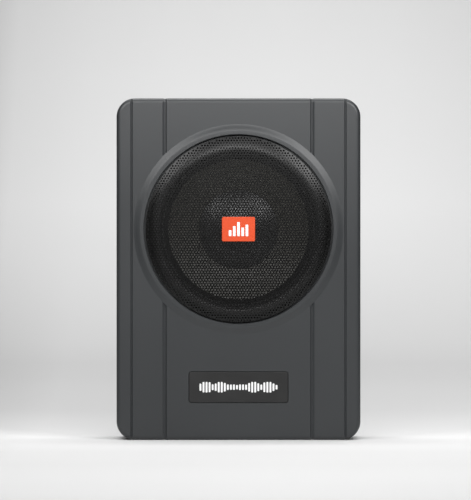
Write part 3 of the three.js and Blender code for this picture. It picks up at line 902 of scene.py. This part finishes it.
def makeCone():
    low, high = span("cone")
    paper = driver["paper"]
    edgeY = low.y
    front = [(driver["lip"], edgeY), (driver["coneEdge"], edgeY)]
    steps = 22
    for i in range(1, steps + 1):
        t = i / steps
        radius = driver["coneEdge"] + (driver["capRadius"] - driver["coneEdge"]) * t
        # a slight curve in the cone wall, with two pressed ribs
        y = edgeY + driver["bowlDepth"] * (t + driver["wallCurve"] * sin(pi * t))
        rib = sum(exp(-(((t - at) / 0.035) ** 2)) for at in driver["ribsAt"])
        front.append((radius, y - driver["ribHeight"] * rib))
    front.append((driver["neck"], high.y - paper))
    back = [(radius, y + paper) for radius, y in reversed(front)]
    driverPiece("cone", front + back, conePaper, "cone")


def makeDustCap():
    top = span("dust_cap")[0].y
    rim = driver["capRadius"]
    height = driver["capRise"]
    sphere = (rim * rim + height * height) / (2 * height)
    sweep = asin(rim / sphere)
    centreY = top + sphere
    outside = []
    inside = []
    for i in range(25):
        angle = sweep * i / 24
        for line, size in ((outside, sphere), (inside, sphere - driver["capPaper"])):
            line.append((size * sin(angle), centreY - size * cos(angle)))
    driverPiece("dustCap", outside + inside[::-1], capPaper, "dust_cap")


def makeSurround():
    # the roll is in two halves that meet at its crest
    rearY = span("surround")[1].y
    crestRadius = (roll["inner"] + roll["outer"]) / 2
    size = (roll["outer"] - roll["inner"]) / 2
    hollow = size - roll["rubber"]
    lipFront = rearY - roll["rubber"]
    place = frontAt("grille")
    steps = 16
    for side, name, lipEnd in ((-1, "surroundInner", roll["innerLip"]), (1, "surroundOuter", roll["outerLip"])):
        front = [(lipEnd, lipFront)]
        back = [(lipEnd, rearY), (crestRadius + side * hollow, rearY)]
        for i in range(steps + 1):
            angle = pi / 2 * i / steps
            for skin, reach in ((front, size), (back, hollow)):
                skin.append((crestRadius + side * reach * cos(angle), lipFront - reach * sin(angle)))
        half = turned(name, front + back[::-1], place, driver["segments"])
        finished(half, None, rollRubber, ["surround"] if side < 0 else (), 40, flatFaces=False)
        if side < 0:
            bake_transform(half)
        else:
            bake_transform(half)
    # a black ring over the roll's inner lip, darker than the roll
    inner, outer, under, over = darkRing["inner"], darkRing["outer"], lipFront + darkRing["sink"], lipFront - darkRing["rise"]
    line = [(inner, under), (inner + 0.2, over), (outer - 0.3, over), (outer, under)]
    finished(turned("surroundDarkRing", line, place, driver["segments"]), "cone_assembly", footRubber)


def makeSpider():
    # a shallow cup of corrugated cloth
    innerY, outerY = spider["innerY"], spider["outerY"]
    front = []
    steps = 64
    for i in range(steps + 1):
        t = i / steps
        radius = spider["inner"] + (spider["cup"] - spider["inner"]) * t
        fade = min(1.0, t / 0.12, (1 - t) / 0.12)
        wave = spider["waveHeight"] * fade * sin(t * 2 * pi * spider["waves"])
        front.append((radius, innerY + (outerY - innerY) * t + wave))
    front.append((spider["outer"], outerY))
    back = [(radius, y + spider["cloth"]) for radius, y in reversed(front)]
    made = turned("spiderCup", front + back, frontAt("grille"), 96)
    finished(made, None, spiderCloth, ["spider"], 60, flatFaces=False)
    start, end = (Vector((0, y, 0)) * mm for y in (outerY, innerY))
    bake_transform(made)
    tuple(start)
    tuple(end)


def tubeAlong(name, points, radius, sides=12):
    # a round tube on a smooth curve through the points
    dense = []
    count = len(points)
    for i in range(count - 1):
        p0, p1 = Vector(points[max(i - 1, 0)]), Vector(points[i])
        p2, p3 = Vector(points[i + 1]), Vector(points[min(i + 2, count - 1)])
        for k in range(6):
            t = k / 6
            dense.append(
                0.5 * ((2 * p1) + (p2 - p0) * t + (2 * p0 - 5 * p1 + 4 * p2 - p3) * t * t
                       + (3 * p1 - p0 - 3 * p2 + p3) * t ** 3)
            )
    dense.append(Vector(points[-1]))
    rows = []
    for i, point in enumerate(dense):
        ahead = (dense[min(i + 1, len(dense) - 1)] - dense[max(i - 1, 0)]).normalized()
        side = Vector((1, 0, 0))
        up = ahead.cross(side).normalized()
        turn = [2 * pi * k / sides for k in range(sides)]
        rows.append([(point + side * radius * cos(a) + up * radius * sin(a)) * mm for a in turn])
    return skinned(name, rows)


def makeLeads():
    for i in (1, 2):
        node = f"tinsel_lead_{i}"
        x = middle(node).x
        made = tubeAlong(f"tinselLead{i}", [(x, y, axis.z + z) for z, y in lead["route"]], lead["radius"])
        finished(made, None, tinselBraid, [node], 60, flatFaces=False)
        start, end = (Vector((x, y, axis.z + z)) * mm for z, y in (lead["bendFrom"], lead["bendTo"]))
        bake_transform(made)
        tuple(start)
        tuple(end)


makeCone()
makeDustCap()
makeSurround()
makeSpider()
makeLeads()
print("driver made")


# the base plate, its screws and the feet
base = {
    "corner": 16.2,
    "edge": 0.45,
    "ribWidth": 9.0,
    "ribLength": 190.0,
    "ribRise": 1.2,
    "ribsAt": (-48, 0, 48),
    "screwHole": 2.3,
    "sinkRadius": 4.6,
}
screwShape = {"radius": 3.6, "head": 1.9, "shank": 1.55, "crossReach": 2.1, "crossHalf": 0.42, "crossFrom": 0.75}


def makeBase():
    low, high = span("base_plate")
    rear = high.y - base["ribRise"]
    wide, tall = high.x - low.x, high.z - low.z
    edge, corner = base["edge"], base["corner"]
    rows = [
        (-edge, corner, low.y), (0, corner, low.y + edge / 2), (0, corner, rear - edge),
        (-edge * 0.6, corner - 0.1, rear - edge * 0.3), (-edge * 2, corner - 0.4, rear),
    ]
    midZ = middle("base_plate").z
    plate = lofted("basePlate", stacked(wide, tall, 14, rows), frontPlace(0, midZ))
    ribs = []
    for x in base["ribsAt"]:
        rows = [(2.4, 5.6, rear - 0.4)]
        for i in range(7):
            t = i / 6
            slope = 0.5 - 0.5 * cos(pi * t)
            grow = -2 + 2.0 * (1 - t)
            rows.append((grow, (base["ribWidth"] + grow - 0.2) / 2, rear + base["ribRise"] * slope - 0.02 * (1 - t)))
        ribs.append(lofted("rib", stacked(base["ribWidth"], base["ribLength"], 12, rows), frontPlace(x, midZ)))
    worked(plate, merged("ribTools", ribs), "UNION")
    hole, sink = base["screwHole"], base["sinkRadius"]
    before, after = low.y - 1, rear + 2
    profile = [(0, before), (hole, before), (hole, rear - 0.5), (sink, rear + 0.02), (sink, after), (0, after)]
    holes = [turned("hole", profile, place, 32) for place in nodePlaces("base_screw", screwCount)]
    worked(plate, merged("holeTools", holes), "DIFFERENCE")
    finished(plate, "case", plateCoat, ["base_plate"], crease=30)


def screwBlank(headY, low, high):
    # made once at the origin, its head's underside at depth 0
    top, tip = high.y - headY, low.y - headY
    shank = screwShape["shank"]
    profile = [(0, top), (2.3, top, 1.6), (3.55, 0.75, 0.7), (screwShape["radius"], 0.0, 0.2)]
    profile += [(shank, 0.0), (shank, tip + 1), (0.9, tip), (0, tip)]
    screw = turned("screwBlank", soften(profile), frontPlace(0, 0), 48)
    reach, half, floor = (screwShape[key] for key in ("crossReach", "crossHalf", "crossFrom"))
    for wide, tall in ((reach, half), (half, reach)):
        worked(screw, boxed("arm", (-wide, floor, -tall), (wide, 4, tall), 0.12), "DIFFERENCE")
    mesh = screw.data
    bpy.data.objects.remove(screw)
    return mesh


def makeScrews():
    low, high = span("base_screw_1")
    headY = high.y - screwShape["head"]
    mesh = screwBlank(headY, low, high)
    for i in range(1, screwCount + 1):
        at = middle(f"base_screw_{i}")
        piece = linked(f"baseScrew{i}", mesh.copy())
        piece.location = Vector((at.x, headY, at.z)) * mm
        piece.rotation_euler = (0, radians(37 * i), 0)
        finished(piece, "case", zincPlate, [f"base_screw_{i}"], crease=35)


def makeFeet():
    for i in range(1, 5):
        node = f"rubber_foot_{i}"
        low, high = span(node)
        radius = (high.x - low.x) / 2
        rear = high.y
        # a shoulder, a moulded ring and a sunk middle
        profile = [
            (0, low.y), (radius - 0.4, low.y, 0.2), (radius, low.y + 0.9, 0.4),
            (radius - 0.9, rear, 0.8), (radius - 3.2, rear, 0.2), (radius - 3.5, rear - 0.5, 0.2),
            (radius - 3.8, rear, 0.2), (4.6, rear, 0.4), (4.2, rear - 1.3, 0.3), (0, rear - 1.3),
        ]
        foot = turned(f"rubberFoot{i}", soften(profile), frontAt(node), 72)
        finished(foot, "case", footRubber, [node], crease=40)


makeBase()
makeScrews()
makeFeet()
print("back made")


# the control panel in the right side; depths are along X
panel = {
    "wall": 1.8,
    "wide": 39.4,
    "tall": 95.4,
    "floorBehindRim": 8.7,
    "floorThickness": 2.0,
    "flangeAt": 5.7,
    "flangeGrowth": 6.6,
    "flangeThickness": 1.5,
    "ticks": 11,
    "sweep": 140,
    "tickFrom": 7.0,
    "printHeight": 0.05,
}
socketWall = 1.4
pinCounts = {"power_socket": 4, "high_level_socket": 4, "remote_jack": 0}
knobNames = ("level", "lowpass", "bass")
jackRings = {"phono_jack_left": leftRing, "phono_jack_right": rightRing}
jackBack = 112.2
tubLow, tubHigh = span("control_panel")
floorX = tubHigh.x - panel["floorBehindRim"]


def trayHoles(backX):
    # round holes as (node, radius, segments), then slots as (node, width, height, corner)
    through = (backX - 1, floorX + 1)
    holes = []
    rounds = [(f"{name}_knob", 3.4, 40) for name in knobNames] + [(name, 4.6, 40) for name in jackRings]
    for node, radius, segments in rounds + [("power_led", 1.9, 24)]:
        holes.append(rod("hole", radius, *through, sideAt(node), segments))
    slots = []
    for node in pinCounts:
        low, high = span(node)
        slots.append((node, high.y - low.y + 0.6, high.z - low.z + 0.6, 0.9))
    for node, wide, tall, corner in slots + [("phase_switch_housing", 3.6, 9.0, 0.5), ("blade_fuse", 4.8, 11.4, 0.6)]:
        shape = outline(wide, tall, corner, 4)
        holes.append(lofted("hole", [(shape, depth) for depth in through], sideAt(node)))
    return merged("holeTools", holes)


def makeTray():
    backX = floorX - panel["floorThickness"]
    rimX = tubHigh.x
    inner = -2 * panel["wall"]
    grow = panel["flangeGrowth"]
    flangeX = tubLow.x + panel["flangeAt"]
    flangeFront = flangeX + panel["flangeThickness"]
    # up the outside, over the rim, and down the inside to the floor
    rows = [
        (0, 2.8, backX), (0, 2.8, flangeX), (grow, 4.4, flangeX), (grow, 4.4, flangeFront),
        (0, 2.8, flangeFront), (0, 2.8, rimX - 0.3), (-0.6, 2.5, rimX), (inner + 0.8, 2.2, rimX),
        (inner, 1.9, rimX - 0.5), (inner, 1.9, floorX + 0.6), (inner - 1.2, 1.3, floorX),
    ]
    tray = lofted("controlTray", stacked(panel["wide"], panel["tall"], 8, rows), sideAt("control_panel"))
    worked(tray, trayHoles(backX), "DIFFERENCE")
    finished(tray, "case", panelPlastic, ["control_panel"], crease=32)


def printed(shape, place):
    depths = (floorX - panel["printHeight"], floorX + panel["printHeight"])
    return lofted("mark", [(shape, depth) for depth in depths], place)


def makeTicks():
    # printed scale marks round each knob, and a plain line beside each end of the switch
    marks = []
    last = panel["ticks"] - 1
    start, half = panel["tickFrom"], 0.16
    for name in knobNames:
        for i in range(panel["ticks"]):
            turn = radians(-panel["sweep"] + 2 * panel["sweep"] * i / last)
            end = start + (1.5 if i in (0, panel["ticks"] // 2, last) else 0.9)
            cosine, sine = cos(turn), sin(turn)
            corners = []
            for along, aside in ((start, -half), (end, -half), (end, half), (start, half)):
                corners.append((sine * along + cosine * aside, cosine * along - sine * aside))
            marks.append(printed(corners, sideAt(f"{name}_knob")))
    spot = middle("phase_switch_housing")
    for offset in (-5.9, 5.9):
        marks.append(printed(outline(2.6, 0.4, 0.15, 2), sidePlace(spot.y, spot.z + offset)))
    finished(merged("panelMarks", marks), "case", tickPrint, flatFaces=False)


def makeKnobs():
    for name in knobNames:
        node = f"{name}_knob"
        low, high = span(node)
        spot = middle(node)
        baseX = floorX + 0.3
        topX = high.x
        # from the shaft, out over the skirt, up the fluted side, to a sunk top
        profile = [
            (0, low.x), (2.95, low.x, 0.3), (2.95, baseX), (5.95, baseX, 0.2),
            (5.95, baseX + 1.2, 0.3), (5.25, baseX + 1.6, 0.2), (5.15, baseX + 2.2),
            (5.0, topX - 1.5), (4.95, topX - 0.8, 0.5), (4.3, topX, 0.6), (3.4, topX, 0.3),
            (3.0, topX - 0.35, 0.3), (0, topX - 0.35),
        ]
        flutes = {"count": 18, "depth": 0.42, "from": baseX + 1.9, "to": topX - 0.9, "beyond": 4.6}
        knob = turned(f"{name}Knob", soften(profile), sideAt(node), 144, flutes)
        finished(knob, node, knobPlastic, [node], crease=35)
        lowCorner = (topX - 0.36, spot.y - 0.32, spot.z + 0.9)
        highCorner = (topX + 0.02, spot.y + 0.32, spot.z + 4.4)
        finished(boxed(f"{name}Pointer", lowCorner, highCorner, 0.08), node, whitePrint)


def makeSwitch():
    low, high = span("phase_switch_tab")
    finished(boxed("phaseTab", low, high, 0.35), "phase_tab", nickelPlate, ["phase_switch_tab"])
    grips = []
    for offset in (-0.7, 0, 0.7):
        z = (low.z + high.z) / 2 + offset
        lowCorner = (high.x - 0.25, low.y + 0.3, z - 0.16)
        highCorner = (high.x + 0.12, high.y - 0.3, z + 0.16)
        grips.append(boxed("grip", lowCorner, highCorner, 0.08))
    finished(merged("phaseTabGrip", grips), "phase_tab", nickelPlate)


def makeJacks():
    # a nickel barrel round a coloured core, with a contact sleeve inside
    for node, ring in jackRings.items():
        place = sideAt(node)
        top = span(node)[1].x
        barrel = [
            (3.3, jackBack), (5.9, jackBack), (5.9, floorX + 0.3), (5.9, floorX + 1.1, 0.3),
            (4.6, floorX + 1.3, 0.2), (4.15, floorX + 1.5, 0.2), (4.15, top - 0.5, 0.3),
            (3.85, top, 0.25), (3.35, top, 0.15), (3.3, top - 0.4),
        ]
        # behind the tray's floor only the inner wall is kept
        barrel = [point for point in soften(barrel) if point[1] >= floorX or point[0] < 4.3]
        finished(turned(f"{node}Barrel", barrel, place, 64), "case", nickelPlate, [node])
        back = jackBack + 0.2
        core = [(1.5, back), (3.2, back), (3.2, top - 0.7, 0.2)]
        core += [(2.2, top - 0.5, 0.2), (1.6, top - 0.6, 0.1), (1.5, top - 0.9)]
        finished(turned(f"{node}Core", soften(core), place, 48), "case", ring)
        contact = [(0.95, back + 0.2), (1.4, back + 0.2), (1.4, top - 1.6), (0.95, top - 1.6)]
        finished(turned(f"{node}Contact", contact, place, 32), "case", nickelPlate)


def makeSockets():
    for node, count in pinCounts.items():
        low, high = span(node)
        spot = middle(node)
        wide, tall = high.y - low.y, high.z - low.z
        inner = -2 * socketWall
        front = high.x
        cavityX = front - 10
        rows = [
            (0, 0.8, low.x), (0, 0.8, front - 0.25), (-0.4, 0.7, front), (inner + 0.5, 0.6, front),
            (inner, 0.4, front - 0.4), (inner, 0.4, cavityX),
        ]
        shroud = lofted(f"{node}Shroud", stacked(wide, tall, 5, rows), sideAt(node))
        finished(shroud, "case", socketPlastic, [node])
        # blades in a row, or four small contacts in the remote jack
        if count:
            offsets = [(0, (i - (count - 1) / 2) * (tall + inner) / count) for i in range(count)]
            halfWide, halfTall, reach, rounding = 1.4, 0.45, 4.5, 0.18
        else:
            offsets = [(-1.3, -1.3), (1.3, -1.3), (-1.3, 1.3), (1.3, 1.3)]
            halfWide, halfTall, reach, rounding = 0.32, 0.32, 0.25, 0.1
        pins = []
        for dy, dz in offsets:
            y, z = spot.y + dy, spot.z + dz
            lowCorner = (cavityX - 0.5, y - halfWide, z - halfTall)
            pins.append(boxed("pin", lowCorner, (cavityX + reach, y + halfWide, z + halfTall), rounding))
        finished(merged(f"{node}Pins", pins), "case", nickelPlate)


def makeFuse():
    low, high = span("blade_fuse")
    spot = middle("blade_fuse")
    wide, tall = high.y - low.y, high.z - low.z
    baseX = floorX + 0.3
    top = high.x
    # each ring is narrower by the first number and shorter by the second
    rows = [
        (0.6, 0.4, 0.9, baseX), (0, 0, 1.0, baseX + 0.5), (0, 0, 1.0, top - 1.8),
        (0.2, 1.2, 1.0, top - 1.5), (0.4, 1.6, 1.0, top - 0.5), (1.2, 2.4, 0.9, top),
    ]
    rings = [(outline(wide - narrow, tall - short, corner, 6), depth) for narrow, short, corner, depth in rows]
    head = lofted("fuseHead", rings, sideAt("blade_fuse"))
    finished(head, "case", fusePlastic, ["blade_fuse"])
    blades = []
    for z in (spot.z - 3.6, spot.z + 3.6):
        blades.append(boxed("blade", (low.x, spot.y - 0.4, z - 1.4), (baseX + 0.2, spot.y + 0.4, z + 1.4), 0.1))
    finished(merged("fuseBlades", blades), "case", nickelPlate)


def makeLed():
    radius, bulge, shoulderX = 1.6, 1.4, floorX + 0.3
    rear = span("power_led")[0].x
    profile = [(0, rear), (radius, rear), (radius, shoulderX)]
    for i in range(1, 8):
        angle = i / 8 * pi / 2
        profile.append((radius * cos(angle), shoulderX + bulge * sin(angle)))
    profile.append((0, shoulderX + bulge))
    lens = turned("powerLens", profile, sideAt("power_led"), 32)
    finished(lens, "case", ledLens, ["power_led"])


makeTray()
makeTicks()
makeKnobs()
makeSwitch()
makeJacks()
makeSockets()
makeFuse()
makeLed()
print("control panel made")


# the CAD nodes that stay take their finishes here
kept = {
    "basket": basketCoat,
    "base_gasket": sealFoam,
    "mounting_gasket": sealFoam,
    "top_plate": turnedSteel,
    "yoke": turnedSteel,
    "magnet": firedFerrite,
    "terminal_strip": solderMask,
    "coil_former": rolledAluminium,
    "coil_winding": woundCopper,
    "amp_board": solderMask,
    "heatsink_bar": rolledAluminium,
    "toroid_inductor": woundCopper,
    "phase_switch_housing": panelPlastic,
}
kept.update({f"driver_screw_{i}": zincPlate for i in range(1, driverScrewCount + 1)})
kept.update({f"capacitor_{i}": canSleeve for i in range(1, 4)})
kept.update({f"{name}_pot": zincPlate for name in knobNames})
for name, material in kept.items():
    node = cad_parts[name]
    node.data.materials.clear()
    node.data.materials.append(material)
print("kept parts finished")


# the studio: a pale floor, and behind it a paper wall whose back lets other views through; the paper's colour carries
# painted shade
studio = {"reach": 5000, "bendStart": 260, "bendRadius": 900, "wallHalf": 1700, "wallTop": 3200}
# painted shade in the paper's colour: a painted shadow just above the floor line, the wall dimmer towards the top,
# the floor darker towards the front, and both darker towards the sides
paperShading = {
    "wallSpan": 2.0,
    "wall": (
        (0.0, 0.78), (0.002, 0.73), (0.0075, 0.70), (0.0135, 0.675), (0.02, 0.64), (0.027, 0.625),
        (0.04, 0.665), (0.0625, 0.71), (0.094, 0.76), (0.127, 0.80), (0.21, 0.79), (0.266, 0.765),
        (1.0, 0.75),
    ),
    "floorFrom": -1.5,
    "floor": (
        (0.0, 0.6), (0.3, 0.6), (0.52, 0.62), (0.6, 0.61), (0.749, 0.64), (0.863, 0.73),
        (0.97, 0.9), (1.0, 0.95),
    ),
    "brightAt": 0.06,
    "wallSideShade": ((0.0, 1.0), (0.15, 0.98), (0.26, 0.94), (0.36, 0.87), (0.46, 0.55), (0.6, 0.32), (0.9, 0.18)),
    "floorSideShade": ((0.0, 1.0), (0.27, 0.98), (0.34, 0.86), (0.5, 0.5), (0.8, 0.3)),
}


def paperLook():
    look = Look("studioPaper", Specular_IOR_Level=0.0)
    parts = look.axes()
    fibre = look.noise(30, 2, 0.5)

    def ramp(key, value):
        stops = [(place, grey(tone)) for place, tone in paperShading[key]]
        return look.node("ShaderNodeValToRGB", {"stops": stops}, {0: value})

    def product(first, second):
        return look.node("ShaderNodeVectorMath", {"operation": "MULTIPLY"}, {0: first, 1: second})

    # painted shade: the wall's tone by height, the floor's by distance in front of the case, and darkening towards
    # both sides
    wallShade = ramp("wall", parts[2] / paperShading["wallSpan"])
    floorShade = ramp("floor", (parts[1] - paperShading["floorFrom"]) / -paperShading["floorFrom"])
    aside = look.node("ShaderNodeMath", {"operation": "ABSOLUTE"}, {0: parts[0] - paperShading["brightAt"]})
    wallSideShade = ramp("wallSideShade", aside)
    floorSideShade = ramp("floorSideShade", aside)
    shade = look.between(look.limited(parts[2], 0.0, 0.2), floorSideShade, wallSideShade)
    look.dressed(product(product(wallShade, floorShade), shade), 0.93 + 0.05 * (fibre - 0.5))
    # seen from behind, the wall is clear
    behind = look.node("ShaderNodeNewGeometry", out="Backfacing")
    clear = look.node("ShaderNodeBsdfTransparent")
    front = Sock(look, look.shader.outputs[0])
    blend = look.node("ShaderNodeMixShader", sockets={0: behind, 1: front, 2: clear})
    look.feed(look.tree.nodes["Material Output"].inputs[0], blend)
    return look.material


def makeStage():
    bend = studio["bendRadius"]
    line = [(-studio["reach"], 0), (-2000, 0), (0, 0), (studio["bendStart"], 0)]
    for i in range(1, 25):
        angle = i / 24 * pi / 2
        line.append((studio["bendStart"] + bend * sin(angle), bend * (1 - cos(angle))))
    line.append((studio["bendStart"] + bend, studio["wallTop"]))
    bm = bmesh.new()
    rows = []
    for y, z in line:
        rows.append([bm.verts.new(Vector((x * studio["wallHalf"], y, z)) * mm) for x in (-1, -0.5, 0, 0.5, 1)])
    for first, second in zip(rows, rows[1:]):
        for i in range(4):
            bm.faces.new((first[i], first[i + 1], second[i + 1], second[i]))
    sweep = keptObject("studioSweep", bm)
    faces = sweep.data.polygons
    faces.foreach_set("use_smooth", [True] * len(faces))
    sweep.data.materials.append(paperLook())
    wide = 2 * studio["reach"]
    sheet = [(outline(wide, wide, 2000, 16), -2), (outline(wide, wide, 2000, 16), -3)]
    floor = lofted("studioFloor", sheet, lambda u, v, depth: (u, v, depth))
    look = Look("studioFloor", Specular_IOR_Level=0.0)
    cloud = look.noise(20, 2, 0.5)
    tone = look.between(cloud, grey(0.78), grey(0.80))
    floor.data.materials.append(look.dressed(tone, 0.93 + 0.05 * (cloud - 0.5)))


makeStage()


def softbox(name, place, aim, size, power):
    light = bpy.data.lights.new(name, "AREA")
    light.shape = "RECTANGLE"
    light.size, light.size_y = size[0] * mm, size[1] * mm
    light.energy = power
    lamp = linked(name, light)
    lamp.location = Vector(place) * mm
    lamp.rotation_euler = (Vector(aim) * mm - lamp.location).to_track_quat("-Z", "Y").to_euler()


lamps = {
    "cornerLeft": {"place": (-470, -640, 700), "aim": (0, 0, 250), "size": (380, 380), "power": 3.5},
    "cornerRight": {"place": (470, -640, 700), "aim": (0, 0, 250), "size": (380, 380), "power": 4.9},
    "middle": {"place": (0, -760, 720), "aim": (0, 0, 250), "size": (420, 360), "power": 2.0},
    "front": {"place": (0, -1000, 560), "aim": (0, 0, 190), "size": (500, 200), "power": 2.75},
    "overhead": {"place": (0, -60, 1900), "aim": (0, -60, 0), "size": (800, 800), "power": 5},
    "wallWash": {"place": (0, 420, 2600), "aim": (0, 1160, 500), "size": (2400, 500), "power": 40},
}
for name, lamp in lamps.items():
    softbox(name, **lamp)
worldGlow = 0.05
world = bpy.data.worlds.new("studioWorld")
bpy.context.scene.world = world
world.use_nodes = True
glow = world.node_tree.nodes["Background"].inputs
glow["Color"].default_value = (1, 1, 1, 1)
glow["Strength"].default_value = worldGlow
print("studio made")

bpy.context.view_layer.update()
